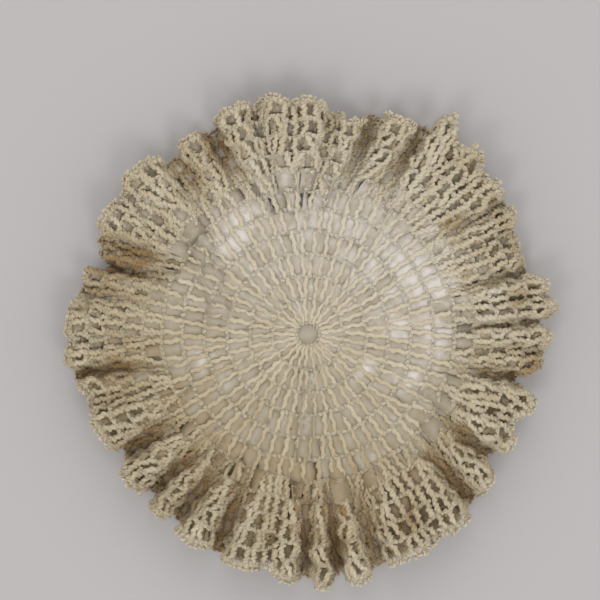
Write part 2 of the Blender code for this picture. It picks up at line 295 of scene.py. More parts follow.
# Stitches as they are worked, before they are laid on the cloth: x across, y through the cloth
# and z along, which is a share of the stitch's length.
Stitch = namedtuple("Stitch", "points corners starts uv")

POST_SIDES = 6
POST_RINGS = 12
POST_TURNS = 2.1
POST_HALF_WIDTH = 1.62 * MM
POST_WAIST = 0.58
WAIST_REACH = 0.2
FLAT_TURNS = 1.6
FLAT_WAIST = 0.72
SHORT_RINGS = 4
SHORT_TURNS = 0.75
SHORT_HALF_WIDTH = 1.2 * MM
LINK_LONG_SIDES = 10
LINK_THREAD_SIDES = 5
LINK_RADIUS = 0.58 * MM
LINK_THREAD = 0.76 * MM
LINK_STRETCH = 1.55
LINK_TAIL_WIDTH = 0.66
LINK_TAIL_BELOW = 0.3
LINK_TILT = math.radians(18.0)
LINK_PITCH = 3.0 * MM
THROUGH = 0.85
FLAT_THROUGH = 0.55
FILM_THICKNESS = 0.012
FILM_ROWS = 3
HOLE_FILM_SIDES = 24
HOLE_FILM_RADIUS = 6.2 * MM
HOLE_FILM_THICKNESS = 0.15 * MM


def added(name):
    """The primitive just added, under its name, with its turn applied."""
    piece = bpy.context.object
    piece.name = name
    piece.data.name = name
    bpy.ops.object.transform_apply(location=True, rotation=True, scale=True)
    return piece


def pick_vertices(piece, wanted):
    """Selects the vertices whose place meets a rule, and no others."""
    bpy.ops.mesh.select_mode(type="VERT")
    bpy.ops.mesh.select_all(action="DESELECT")
    mesh = bmesh.from_edit_mesh(piece.data)
    for vertex in mesh.verts:
        vertex.select = wanted(vertex.co)
    mesh.select_flush(True)
    bmesh.update_edit_mesh(piece.data)


def pick_long_edges(piece, length):
    """Selects the edges that run along a stitch."""
    bpy.ops.mesh.select_mode(type="EDGE")
    bpy.ops.mesh.select_all(action="DESELECT")
    mesh = bmesh.from_edit_mesh(piece.data)
    for edge in mesh.edges:
        edge.select = abs(edge.verts[0].co.z - edge.verts[1].co.z) > length
    bmesh.update_edit_mesh(piece.data)


def pattern_of(piece, length):
    """Reads a modelled stitch and takes its object away; its length becomes 1."""
    data = piece.data
    points = np.empty(len(data.vertices) * 3)
    data.vertices.foreach_get("co", points)
    points = points.reshape(-1, 3)
    points[:, 2] /= length
    corners = np.empty(len(data.loops), dtype=np.int32)
    data.loops.foreach_get("vertex_index", corners)
    starts = np.empty(len(data.polygons), dtype=np.int32)
    data.polygons.foreach_get("loop_start", starts)
    uv = np.empty(len(data.loops) * 2)
    data.uv_layers[0].data.foreach_get("uv", uv)
    bpy.data.objects.remove(piece, do_unlink=True)
    return Stitch(points, corners, starts, uv.reshape(-1, 2))


def twisted_stitch(name, rings, turns, half_width, waist):
    """A post of two threads that wind round each other."""
    bpy.ops.object.select_all(action="DESELECT")
    bpy.ops.mesh.primitive_cylinder_add(
        vertices=POST_SIDES,
        radius=half_width,
        depth=1.0,
        end_fill_type="NGON",
        location=(0, 0, 0.5),
    )
    post = added(name)
    bpy.ops.object.mode_set(mode="EDIT")
    pick_vertices(post, lambda place: abs(place.x) < WAIST_REACH * half_width)
    bpy.ops.transform.resize(value=(1.0, waist, 1.0), center_override=(0, 0, 0))
    pick_long_edges(post, 0.5)
    bpy.ops.mesh.subdivide(number_cuts=rings - 1)
    bpy.ops.object.mode_set(mode="OBJECT")
    twist = post.modifiers.new("twist", "SIMPLE_DEFORM")
    twist.deform_method = "TWIST"
    twist.deform_axis = "Z"
    twist.angle = turns * 2.0 * math.pi
    bpy.ops.object.modifier_apply(modifier=twist.name)
    return pattern_of(post, 1.0)


def chain_link():
    """One loop of a chain: narrow at its tail, its head lifted over the next one."""
    bpy.ops.object.select_all(action="DESELECT")
    bpy.ops.mesh.primitive_torus_add(
        major_segments=LINK_LONG_SIDES,
        minor_segments=LINK_THREAD_SIDES,
        major_radius=LINK_RADIUS,
        minor_radius=LINK_THREAD,
        rotation=(0.5 * math.pi, 0.0, 0.0),
    )
    link = added("chain_link")
    bpy.ops.object.mode_set(mode="EDIT")
    pick_vertices(link, lambda place: place.z < -LINK_TAIL_BELOW * LINK_RADIUS)
    bpy.ops.transform.resize(value=(LINK_TAIL_WIDTH, 1.0, 1.0), center_override=(0, 0, 0))
    bpy.ops.mesh.select_all(action="SELECT")
    bpy.ops.transform.resize(value=(1.0, 1.0, LINK_STRETCH), center_override=(0, 0, 0))
    bpy.ops.transform.rotate(value=LINK_TILT, orient_axis="X", center_override=(0, 0, 0))
    bpy.ops.transform.translate(value=(0.0, 0.0, 0.5 * LINK_PITCH))
    bpy.ops.object.mode_set(mode="OBJECT")
    return pattern_of(link, LINK_PITCH)


def starch_film():
    """A patch of dried starch that fills one gap of the mesh; its width is 1 too."""
    bpy.ops.object.select_all(action="DESELECT")
    bpy.ops.mesh.primitive_cube_add(
        size=1.0, location=(0.0, 0.0, 0.5), scale=(1.0, FILM_THICKNESS, 1.0)
    )
    film = added("starch_film")
    bpy.ops.object.mode_set(mode="EDIT")
    pick_long_edges(film, 0.5)
    bpy.ops.mesh.subdivide(number_cuts=FILM_ROWS - 1)
    bpy.ops.object.mode_set(mode="OBJECT")
    return pattern_of(film, 1.0)


def hole_film():
    """The round film of starch in the middle hole."""
    bpy.ops.object.select_all(action="DESELECT")
    bpy.ops.mesh.primitive_cylinder_add(
        vertices=HOLE_FILM_SIDES,
        radius=HOLE_FILM_RADIUS,
        depth=HOLE_FILM_THICKNESS,
        end_fill_type="NGON",
    )
    return pattern_of(added("hole_film"), 1.0)


POST = twisted_stitch("post", POST_RINGS, POST_TURNS, POST_HALF_WIDTH, POST_WAIST)
FLAT_POST = twisted_stitch("flat_post", POST_RINGS, FLAT_TURNS, POST_HALF_WIDTH, FLAT_WAIST)
SHORT = twisted_stitch("short_stitch", SHORT_RINGS, SHORT_TURNS, SHORT_HALF_WIDTH, POST_WAIST)
LINK = chain_link()
FILM = starch_film()
HOLE_FILM = hole_film()

# How the finished work is crumpled: waves round the turn and along the cloth, and how deep.
Crumple = namedtuple("Crumple", "round_waves cloth_waves depth phase")
CRUMPLES = (
    Crumple(157, 5.0, 0.75, 0.4),
    Crumple(113, -8.0, 0.75, 2.1),
    Crumple(211, 3.0, 0.45, 4.0),
    Crumple(41, 11.0, 0.60, 5.2),
)
FLAT_CRUMPLE = 0.25
TABLE_CLEARANCE = 0.05 * MM
FLAT_LIFT = 0.15 * MM

# Steps for the slopes of the cloth.
STEP_TURN = 0.05
STEP_CLOTH = 0.2 * MM
STEP_SHARE = 0.01

# Each post also weaves a little from side to side.
SWAY = 0.55 * MM
SWAY_WAVES = 2.3

DISC_CENTRE = Vector(frame["record"]["mounts"][0]["pos_m"]) - REST_MARK_FROM_CENTRE


def unit(vectors):
    """Each vector at a length of 1."""
    return vectors / np.maximum(np.linalg.norm(vectors, axis=-1, keepdims=True), 1e-12)


def ends(turn, cloth):
    """A row of turn and cloth for one end of each stitch."""
    return np.stack((turn, cloth), axis=1)


def crumple(turn, cloth):
    """How far the stitches stand off the smooth folds."""
    out, _ = ruffle_share(turn, cloth)
    total = np.zeros_like(out)
    for wave in CRUMPLES:
        angle = np.radians(turn) * wave.round_waves
        angle = angle + cloth / CLOTH_REACH * wave.cloth_waves * 2.0 * math.pi + wave.phase
        total += wave.depth * MM * np.sin(angle)
    return total * (FLAT_CRUMPLE + (1.0 - FLAT_CRUMPLE) * out) + FLAT_LIFT * (1.0 - out)


# How brown the cotton is in the centre, then how much more on its low side, on the crests, on the
# warm side of the ruffle and in the valleys, where painted shade adds to the browning. Both sides
# are azimuths.
CENTRE_TONE = 0.36
LOW_SIDE_TONE = 0.30
LOW_SIDE = 245.0
LOW_SIDE_REACH = 75.0 * MM
CREST_TONE = 0.06
WARM_SIDE = 170.0
WARM_SIDE_TONE = 0.12
WARM_SIDE_POWER = 4
# Painted light: how much paler the cloth and the films under the folds are drawn on the warm side.
TUCK_PAINTED_LIGHT = 0.32
VALLEY_BROWNING_AND_SHADE = 0.62
VALLEY_SPREAD = 2.0
VALLEY_POWER = 1.5

# The cloth that is gathered in under the folds: how high it stands and how far in its rim lies
# against the fold above it, and how much browner painted shade makes it. On the warm side it is
# higher, and painted light makes it paler.
TUCK_HEIGHT = 0.76
TUCK_RAISED = 0.13
TUCK_IN = 3.0 * MM
TUCK_PAINTED_SHADE = 0.30
TUCKED_UNDER = 0.35

Laid = namedtuple("Laid", "points stitch tone")


def tucked(turn, cloth):
    """The middle surface of the cloth that is gathered in under the folds."""
    out, _ = ruffle_share(turn, cloth)
    place = drape(turn, cloth - TUCK_IN * out)
    share = TUCK_HEIGHT + TUCK_RAISED * warm_side(turn)
    place[..., 2] = 0.5 * CLOTH_THICKNESS + share * (place[..., 2] - 0.5 * CLOTH_THICKNESS)
    return place


def lay(
    stitch, foot, top, width, roll, lift=0.0, bow=0.0, tone=0.0, surface=drape, through=THROUGH
):
    """Copies of a stitch, each laid on the cloth from its foot to its top.

    foot and top hold a row of turn and cloth for each copy. width scales the stitch, roll turns it
    about its own length, lift and bow move its middle off the cloth and to the side, and tone
    makes it browner: one value for all copies or one for each. through is how thick the stitch
    stays through the cloth.
    """
    width, roll, lift, bow, tone = (
        np.reshape(values, (-1, 1)) for values in (width, roll, lift, bow, tone)
    )
    across, thick, along = stitch.points.T
    foot_turn, foot_cloth = foot.T[:, :, None]
    way_turn, way_cloth = (top - foot).T[:, :, None]
    turn = foot_turn + way_turn * along
    cloth = foot_cloth + way_cloth * along
    place = surface(turn, cloth)
    ahead = surface(turn + way_turn * STEP_SHARE, cloth + way_cloth * STEP_SHARE)
    by_turn = surface(turn + STEP_TURN, cloth) - surface(turn - STEP_TURN, cloth)
    by_cloth = surface(turn, cloth + STEP_CLOTH) - surface(turn, cloth - STEP_CLOTH)
    forward = unit(ahead - place)
    outward = unit(np.cross(by_cloth, by_turn))
    side = unit(np.cross(outward, forward))
    outward = np.cross(forward, side)

    turned_across = np.cos(roll) * across - np.sin(roll) * thick
    turned_thick = np.sin(roll) * across + np.cos(roll) * thick
    arch = np.sin(math.pi * np.clip(along, 0.0, 1.0))
    sway = SWAY * np.sin(2.0 * math.pi * SWAY_WAVES * along + 2.0 * roll)
    sideways = width * turned_across + bow * arch + sway * arch
    standing = through * width * turned_thick + lift * arch + crumple(turn, cloth)
    points = place + side * sideways[..., None] + outward * standing[..., None]
    points[..., 2] = np.maximum(points[..., 2], TABLE_CLEARANCE)
    return Laid(points, stitch, cotton_tone(points, turn, cloth) + tone)


def near_spot(points, azimuth, distance, spread):
    """From 1 at a spot at this azimuth and distance from the middle down to 0 away from it."""
    x = points[..., 0] - distance * math.cos(math.radians(azimuth))
    y = points[..., 1] - distance * math.sin(math.radians(azimuth))
    return np.exp(-(x * x + y * y) / spread**2)


def low_side(points):
    """From -1 to 1 across the flat centre, towards the side where the cotton and the starch are
    drawn browner.
    """
    way = math.radians(LOW_SIDE)
    across = points[..., 0] * math.cos(way) + points[..., 1] * math.sin(way)
    return np.clip(across / LOW_SIDE_REACH, -1.0, 1.0)


def warm_side(turn):
    """From 0 to 1 round to the side where the ruffle is warmer and opens more to the light."""
    return (0.5 + 0.5 * np.cos(np.radians(turn - WARM_SIDE))) ** WARM_SIDE_POWER


def cotton_tone(points, turn, cloth):
    """How brown the cotton is, from 0 for pale cream to 1 for tan: more in stains, and in valleys,
    where painted shade adds to it.
    """
    out, height = ruffle_share(turn, cloth)
    # The valleys are browned partly with painted shade.
    deep = np.minimum(1.0, VALLEY_SPREAD * out) * (1.0 - height) ** VALLEY_POWER
    tone = CENTRE_TONE + LOW_SIDE_TONE * low_side(points) * (1.0 - out) + CREST_TONE * out * height
    tone = tone + VALLEY_BROWNING_AND_SHADE * deep
    tone = tone + WARM_SIDE_TONE * out * warm_side(turn)
    for stain in STAINS:
        near = near_spot(points, stain.azimuth, stain.radius * MM, stain.spread * MM)
        tone = tone + stain.strength * near
    return tone


# How the chains wave and bow out, and how the posts shift and lean.
SAMPLES_ROUND = 7200
SCALLOP = 1.1 * MM
FLAT_SCALLOP = 0.6 * MM
Wave = namedtuple("Wave", "waves depth phase")
LINE_WAVES = (
    Wave(9, 0.50, 1.0),
    Wave(17, 0.35, 4.4),
    Wave(29, 0.22, 2.2),
)
RUFFLE_JITTER = 0.17
CENTRE_JITTER = 0.10
INCREASE_LEAN = 0.42
CENTRE_LEAN = 0.10
RUFFLE_LEAN = 0.36
CHAIN_STANDS = 0.40 * MM
FLAT_CHAIN_STANDS = 0.10 * MM
CHAIN_TONE = -0.03
FLAT_CHAIN_TONE = -0.10
POST_LAP = 0.7 * MM

# How unevenly the stitches are worked: least and most of a width or a lift, or how far a bow, a
# lean, a roll or a tone strays. Lifts and bows are in millimetres.
ANY_ROLL = (0.0, 2.0 * math.pi)
POST_WIDTHS = (0.86, 1.10)
POST_LIFTS = (-0.2, 0.9)
POST_BOW = 0.55
POST_TONE = 0.05
FLAT_PLAY = 0.4
LINK_WIDTHS = (0.90, 1.12)
LINK_LIFTS = (-0.1, 0.3)
LINK_BOW = 0.15
LINK_ROLL = 0.22
LINK_TONE = 0.04
TUCK_WIDTHS = (0.9, 1.1)
TUCK_LIFTS = (-0.5, 0.5)
TUCK_BOW = 0.5
TUCK_LEAN = 0.4

STITCH_SEED = 20
draw = np.random.default_rng(STITCH_SEED)


def round_table(cloth):
    """Turns round one line of the cloth, and how far along that line each is."""
    turns = FOOT[0] + np.linspace(0.0, FULL_TURN, SAMPLES_ROUND + 1)
    points = drape(turns, cloth)
    steps = np.linalg.norm(np.diff(points, axis=0), axis=1)
    return turns, np.concatenate(((0.0,), np.cumsum(steps)))


def post_tops():
    """The turns at which the posts of each round reach their chain, in order round the turn."""
    tops = []
    for place, row in enumerate(ROUNDS):
        turns, along = round_table(row.chain * MM)
        if row.posts == 0:
            tops.append(None)
            continue
        if FIRST_OPEN_ROUND <= place <= LAST_EVEN_ROUND:
            count = min(row.posts, OPEN_POSTS)
            own = np.random.default_rng(POST_SEED + place - FIRST_OPEN_ROUND)
            own = own.uniform(-OPEN_POST_WANDER, OPEN_POST_WANDER, count)
            pitch = FULL_TURN / count
            found = FOOT[0] + pitch * (np.arange(count) + 0.5 + own)
            extra = draw.permutation(count)[: row.posts - count]
            found = np.sort(np.concatenate((found, found[extra] + pitch * INCREASE_LEAN)))
        else:
            jitter = CENTRE_JITTER if place < FIRST_OPEN_ROUND else RUFFLE_JITTER
            shares = np.arange(row.posts) + 0.5 + draw.uniform(-jitter, jitter, row.posts)
            found = np.interp(shares / row.posts * along[-1], along, turns)
        tops.append(found)
    return tops


TOPS = post_tops()


def chain_line(place, turn):
    """How far along the cloth the chain of a round lies: wavy, and bowed out between its posts."""
    row = ROUNDS[place]
    out, _ = ruffle_share(turn, row.chain * MM)
    line = row.chain * MM + np.zeros_like(turn)
    for wave in LINE_WAVES:
        angle = np.radians(turn) * wave.waves + wave.phase + place
        line = line + wave.depth * MM * np.sin(angle)
    if TOPS[place] is None:
        return line
    posts = np.concatenate((TOPS[place] - FULL_TURN, TOPS[place], TOPS[place] + FULL_TURN))
    between = np.interp(turn, posts, np.arange(len(posts))) % 1.0
    bow = FLAT_SCALLOP + (SCALLOP - FLAT_SCALLOP) * out
    return line + bow * (np.sin(math.pi * between) ** 2 - 0.5)


def gathered_feet(place):
    """Where the posts of a round stand on the round below, drawn towards its stitches."""
    feet = TOPS[place] + 0.0
    below = TOPS[place - 1]
    if below is None or ROUNDS[place].gather == 0.0:
        return feet
    stitches = np.concatenate((below - FULL_TURN, below, below + FULL_TURN))
    nearest = stitches[np.abs(feet[:, None] - stitches[None, :]).argmin(axis=1)]
    spread = FULL_TURN / len(feet) * (RUFFLE_LEAN if place >= LAST_EVEN_ROUND else CENTRE_LEAN)
    return feet + ROUNDS[place].gather * (nearest - feet) + draw.normal(0.0, spread, len(feet))


def round_posts(place):
    """The posts of one round."""
    row = ROUNDS[place]
    count = row.posts
    feet = gathered_feet(place)
    tops = TOPS[place]
    ruffled = place >= LAST_EVEN_ROUND
    play = 1.0 if ruffled else FLAT_PLAY
    return lay(
        POST if ruffled else FLAT_POST,
        ends(feet, chain_line(place - 1, feet) - POST_LAP),
        ends(tops, chain_line(place, tops) + POST_LAP),
        width=row.width * draw.uniform(*POST_WIDTHS, count),
        roll=draw.uniform(*ANY_ROLL, count),
        lift=play * draw.uniform(*POST_LIFTS, count) * MM,
        bow=play * draw.normal(0.0, POST_BOW, count) * MM,
        tone=draw.normal(0.0, POST_TONE, count),
        through=THROUGH if ruffled else FLAT_THROUGH,
    )


def link_edges(place):
    """Where the links of one round's chain start and end round the turn."""
    turns, along = round_table(ROUNDS[place].chain * MM)
    count = round(along[-1] / LINK_PITCH)
    return np.interp(np.arange(count + 1) / count * along[-1], along, turns)


def round_chain(place):
    """The chain that closes one round, link after link."""
    edges = link_edges(place)
    edges[-1] = edges[0] + FULL_TURN
    line = chain_line(place, edges)
    count = len(edges) - 1
    flat = place < LAST_EVEN_ROUND - 1
    stands = FLAT_CHAIN_STANDS if flat else CHAIN_STANDS
    return lay(
        LINK,
        ends(edges[:-1], line[:-1]),
        ends(edges[1:], line[1:]),
        width=ROUNDS[place].link * draw.uniform(*LINK_WIDTHS, count),
        roll=draw.normal(0.0, LINK_ROLL, count),
        lift=stands + draw.uniform(*LINK_LIFTS, count) * MM,
        bow=draw.normal(0.0, LINK_BOW, count) * MM,
        tone=draw.normal(FLAT_CHAIN_TONE if flat else CHAIN_TONE, LINK_TONE, count),
        through=FLAT_THROUGH if flat else THROUGH,
    )


def tuck_shade_and_light(turn):
    """How much browner the cloth gathered in under the folds is drawn than the folds: painted
    shade, less of it on the warm side, where painted light pales it.
    """
    return TUCK_PAINTED_SHADE - TUCK_PAINTED_LIGHT * warm_side(turn)


def tucked_rounds(first, last):
    """The rounds gathered in under the higher folds, and the share of each that they keep."""
    parts = []
    kept = total = 0
    for place in range(first, last + 1):
        tops = TOPS[place]
        _, height = ruffle_share(tops, ROUNDS[place].chain * MM)
        tops = tops[height > TUCKED_UNDER]
        count = len(tops)
        kept += count
        total += ROUNDS[place].posts
        if place == first:
            continue
        feet = tops + draw.normal(0.0, TUCK_LEAN, count)
        parts.append(
            lay(
                POST,
                ends(feet, chain_line(place - 1, feet)),
                ends(tops, chain_line(place, tops)),
                width=ROUNDS[place].width * draw.uniform(*TUCK_WIDTHS, count),
                roll=draw.uniform(*ANY_ROLL, count),
                lift=draw.uniform(*TUCK_LIFTS, count) * MM,
                bow=draw.normal(0.0, TUCK_BOW, count) * MM,
                tone=tuck_shade_and_light(tops) + draw.normal(0.0, POST_TONE, count),
                surface=tucked,
            )
        )
    for place in range(first, last + 1):
        edges = link_edges(place)
        _, height = ruffle_share(edges[:-1], ROUNDS[place].chain * MM)
        line = chain_line(place, edges)
        links = np.flatnonzero(height > TUCKED_UNDER)
        count = len(links)
        parts.append(
            lay(
                LINK,
                ends(edges[links], line[links]),
                ends(edges[links + 1], line[links + 1]),
                width=ROUNDS[place].link * draw.uniform(*LINK_WIDTHS, count),
                roll=draw.normal(0.0, LINK_ROLL, count),
                tone=tuck_shade_and_light(edges[links]) + draw.normal(0.0, POST_TONE, count),
                surface=tucked,
            )
        )
    return parts, kept / total


# Spots of painted light, where the starch film is drawn nearly white, by azimuth and distance from
# the middle.
PAINTED_LIGHT_SPOTS = (
    (4.5, 50.0),
    (2.3, 70.0),
    (-5.8, 72.0),
    (20.5, 80.0),
    (22.7, 70.0),
    (35.4, 66.0),
    (194.5, 62.0),
    (206.3, 51.5),
    (-25.4, 61.0),
    (-31.0, 36.0),
    (-62.9, 78.0),
    (120.2, 74.0),
    (129.7, 68.0),
)

# The films: how white they are drawn at the spots of painted light and how brown as painted shade,
# and how far they reach past the gaps that they fill.
PAINTED_LIGHT_SPREAD = 5.5 * MM
PAINTED_LIGHT_TONE = 0.72
FILM_LIFT = 0.05 * MM
FILM_UNEVEN = 0.10 * MM
FILM_ROLL = 0.03
FILM_LAP = 1.4 * MM
FILM_WIDEN = 1.08
FOOT_FILM_WIDEN = 1.18
FILM_OUT = 0.55
FILM_LOW_SIDE = -0.34
FILM_TONE = 0.06
SHADE_FILM_TONE = -0.40
SHADE_FILM_STRAY = 0.08
SHADE_FILM_FROM = 90.0 * MM
# Painted shade: how much browner the films are drawn towards the foot of the folds.
FILM_FOOT_PAINTED_SHADE = -0.50


def gap_rows(place, surface):
    """The gaps of one round: the middle of each, its foot and top along the cloth, its width."""
    posts = TOPS[place]
    after = np.append(posts[1:], posts[0] + FULL_TURN)
    low = np.full(len(posts), ROUNDS[place - 1].chain * MM)
    high = np.full(len(posts), ROUNDS[place].chain * MM)
    half_way = 0.5 * (low + high)
    width = np.linalg.norm(surface(after, half_way) - surface(posts, half_way), axis=1)
    width = width * (FILM_WIDEN if place < LAST_EVEN_ROUND else FOOT_FILM_WIDEN)
    return np.stack((0.5 * (posts + after), low - FILM_LAP, high + FILM_LAP, width), axis=1)


def painted_light_spots(points):
    """How much painted light whitens the starch, from 0 to 1, near its spots."""
    white = np.zeros(points.shape[:-1])
    for azimuth, distance in PAINTED_LIGHT_SPOTS:
        near = near_spot(points, azimuth, distance * MM, PAINTED_LIGHT_SPREAD)
        white = np.maximum(white, near)
    return white


def lay_films(rows, tone, surface):
    """A film in each gap, paler or browner by its tone."""
    middle, low, high, width = rows.T
    count = len(rows)
    films = lay(
        FILM,
        ends(middle, low),
        ends(middle, high),
        width=width,
        roll=draw.normal(0.0, FILM_ROLL, count),
        lift=FILM_LIFT + draw.normal(0.0, FILM_UNEVEN, count),
        surface=surface,
    )
    return films._replace(tone=film_tone(films.points) + tone[:, None])


def film_tone(points):
    """How pale the starch is: white at the spots of painted light, browner on the low side."""
    return PAINTED_LIGHT_TONE * painted_light_spots(points) + FILM_LOW_SIDE * low_side(points)


def starch_films():
    """The films of dried starch in the gaps of the flat centre, and the one in its middle hole."""
    rows = np.concatenate([gap_rows(place, drape) for place in range(1, LAST_EVEN_ROUND + 1)])
    out, _ = ruffle_share(rows[:, 0], rows[:, 2])
    rows, out = rows[out < FILM_OUT], out[out < FILM_OUT]
    middle = HOLE_FILM.points[None, :, :] + np.array((0.0, 0.0, 0.5 * CLOTH_THICKNESS))
    return [
        # Painted shade browns the films towards the foot of the folds.
        lay_films(rows, FILM_FOOT_PAINTED_SHADE * out + draw.normal(0.0, FILM_TONE, len(rows)), drape),
        Laid(middle, HOLE_FILM, np.zeros(middle.shape[:2])),
    ]


def painted_shade_films():
    """Films of painted shade: brown sheets in the gaps of the valleys and of the cloth under the
    folds.
    """
    rounds = range(LAST_EVEN_ROUND, len(ROUNDS))
    films = []
    for surface in (drape, tucked):
        rows = np.concatenate([gap_rows(place, surface) for place in rounds])
        _, height = ruffle_share(rows[:, 0], rows[:, 2])
        if surface is drape:
            rows = rows[(height < TUCKED_UNDER) & (rows[:, 1] > SHADE_FILM_FROM)]
        else:
            rows = rows[height > TUCKED_UNDER]
        # Painted light pales the films under the folds on the warm side.
        paler = TUCK_PAINTED_LIGHT * warm_side(rows[:, 0])
        # The films are drawn brown as painted shade.
        tone = paler + draw.normal(SHADE_FILM_TONE, SHADE_FILM_STRAY, len(rows))
        films.append(lay_films(rows, tone, surface))
    return films


# The edging: short stitches packed along the last chain, and loops over them. Lean, low (of the
# foot), high (of the top) and tone give a middle and how far it strays, width and lift a least
# and a most.
Edge = namedtuple("Edge", "stitch foot top pitch scatter lean low high width lift tone")
EDGES = (
    Edge(
        stitch=SHORT, foot=144.0, top=146.3, pitch=2.6, scatter=0.20, lean=(0.6, 0.5),
        low=(0.0, 0.25), high=(0.0, 0.35),
        width=(1.0, 1.4), lift=(-0.3, 0.6), tone=(0.0, 0.05),
    ),
    Edge(
        stitch=LINK, foot=146.3, top=149.0, pitch=2.7, scatter=0.25, lean=(0.3, 0.7),
        low=(-0.4, 0.3), high=(-0.3, 0.55),
        width=(0.95, 1.30), lift=(-0.3, 0.5), tone=(0.02, 0.06),
    ),
)
LOOP_ROLL = 0.6


def edging():
    """Both rows of the edging."""
    parts = []
    turns, along = round_table(EDGES[0].foot * MM)
    for row in EDGES:
        count = round(along[-1] / (row.pitch * MM))
        scatter = draw.uniform(-row.scatter, row.scatter, count)
        shares = (np.arange(count) + scatter) / count * along[-1]
        feet = np.interp(shares, along, turns)
        tops = np.interp(shares + draw.normal(*row.lean, count) * MM, along, turns)
        low = row.foot * MM + draw.normal(*row.low, count) * MM
        high = row.top * MM + draw.normal(*row.high, count) * MM
        width = draw.uniform(*row.width, count)
        if row.stitch is SHORT:
            roll = draw.uniform(*ANY_ROLL, count)
        else:
            roll = draw.normal(0.0, LOOP_ROLL, count)
        parts.append(
            lay(
                row.stitch,
                ends(feet, low),
                ends(tops, high),
                width=width,
                roll=roll,
                lift=draw.uniform(*row.lift, count) * MM,
                tone=draw.normal(*row.tone, count),
            )
        )
    return parts


RING_LINKS = 17
RING_RADIUS = 6.6 * MM
RING_WIDTH = 0.80
RING_ROLL = 0.1
RING_TONE = -0.05


def starting_ring():
    """The tight ring of stitches round the small hole in the middle."""
    edges = np.arange(RING_LINKS + 1) * FULL_TURN / RING_LINKS
    line = np.full(RING_LINKS + 1, RING_RADIUS)
    return lay(
        LINK,
        ends(edges[:-1], line[:-1]),
        ends(edges[1:], line[1:]),
        width=RING_WIDTH,
        roll=draw.normal(0.0, RING_ROLL, RING_LINKS),
        tone=RING_TONE,
    )


def joined(name, parts, material):
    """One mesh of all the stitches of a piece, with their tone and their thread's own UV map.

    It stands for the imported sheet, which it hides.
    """
    points, corners, starts, uv, tone = [], [], [], [], []
    point_count = corner_count = 0
    for part in parts:
        copies, size = part.points.shape[:2]
        stitch = part.stitch
        points.append(part.points.reshape(-1, 3))
        tone.append(part.tone.reshape(-1))
        first = point_count + size * np.arange(copies)[:, None]
        corners.append((stitch.corners[None, :] + first).ravel())
        first = corner_count + len(stitch.corners) * np.arange(copies)[:, None]
        starts.append((stitch.starts[None, :] + first).ravel())
        uv.append(np.tile(stitch.uv, (copies, 1)))
        point_count += copies * size
        corner_count += copies * len(stitch.corners)
    points = np.concatenate(points) + np.array(DISC_CENTRE)
    corners = np.concatenate(corners)
    starts = np.concatenate(starts)
    data = bpy.data.meshes.new(name)
    data.vertices.add(len(points))
    data.vertices.foreach_set("co", points.ravel())
    data.loops.add(len(corners))
    data.loops.foreach_set("vertex_index", corners)
    data.polygons.add(len(starts))
    data.polygons.foreach_set("loop_start", starts)
    data.update(calc_edges=True)
    layer = data.uv_layers.new(name="thread")
    layer.data.foreach_set("uv", np.concatenate(uv).ravel())
    attribute = data.attributes.new("tone", "FLOAT", "POINT")
    attribute.data.foreach_set("value", np.concatenate(tone))
    data.shade_smooth()
    data.materials.append(material)
    piece = bpy.data.objects.new(name, data)
    bpy.context.scene.collection.objects.link(piece)
    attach(piece, "root")
    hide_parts("doily")
    return piece


# The colours of the cotton, paler to browner, and of the starch, browner to whiter; the brown end
# is mostly painted shade, the white end painted light.
TONE_COLOURS = (
    (0.00, (0.720, 0.668, 0.565, 1.0)),
    (0.35, (0.668, 0.594, 0.446, 1.0)),
    (0.70, (0.538, 0.447, 0.290, 1.0)),
    (1.00, (0.362, 0.240, 0.110, 1.0)),
)
FILM_COVER = 0.85
FILM_COLOURS = (
    (0.05, (0.440, 0.350, 0.220, 1.0)),
    (0.25, (0.455, 0.398, 0.296, 1.0)),
    (0.60, (0.545, 0.492, 0.400, 1.0)),
    (1.00, (0.820, 0.780, 0.740, 1.0)),
)
CLOUD_SCALE = 160.0
PATCH_SCALE = 38.0
PATCH_DEPTH = 0.55
FIBRE_SCALE = 950.0
FLECK_DARKEST = 0.66
FLECK_PALEST = 1.24
PLY_SCALE = 5.0


def new_material(name):
    """A material with its node tree and its shader."""
    material = bpy.data.materials.new(name)
    material.use_nodes = True
    return material, material.node_tree, material.node_tree.nodes["Principled BSDF"]


def set_values(made, values):
    """Sets the inputs of a node, by name or by place."""
    for name, value in values.items():
        made.inputs[name].default_value = value


def node(tree, kind, values=(), **settings):
    """A new node with its settings and the values of its inputs."""
    made = tree.nodes.new(kind)
    for name, value in settings.items():
        setattr(made, name, value)
    set_values(made, dict(values))
    return made


def wire(tree, joins):
    """Links nodes: each row names a node, its output, the next node and that one's input."""
    for start, output, end, entry in joins:
        tree.links.new(start.outputs[output], end.inputs[entry])


def colour_ramp(tree, colours):
    """A ramp through these colours."""
    ramp = node(tree, "ShaderNodeValToRGB")
    stops = ramp.color_ramp.elements
    while len(stops) < len(colours):
        stops.new(0.5)
    for stop, (position, colour) in zip(stops, colours):
        stop.position = position
        stop.color = colour
    return ramp


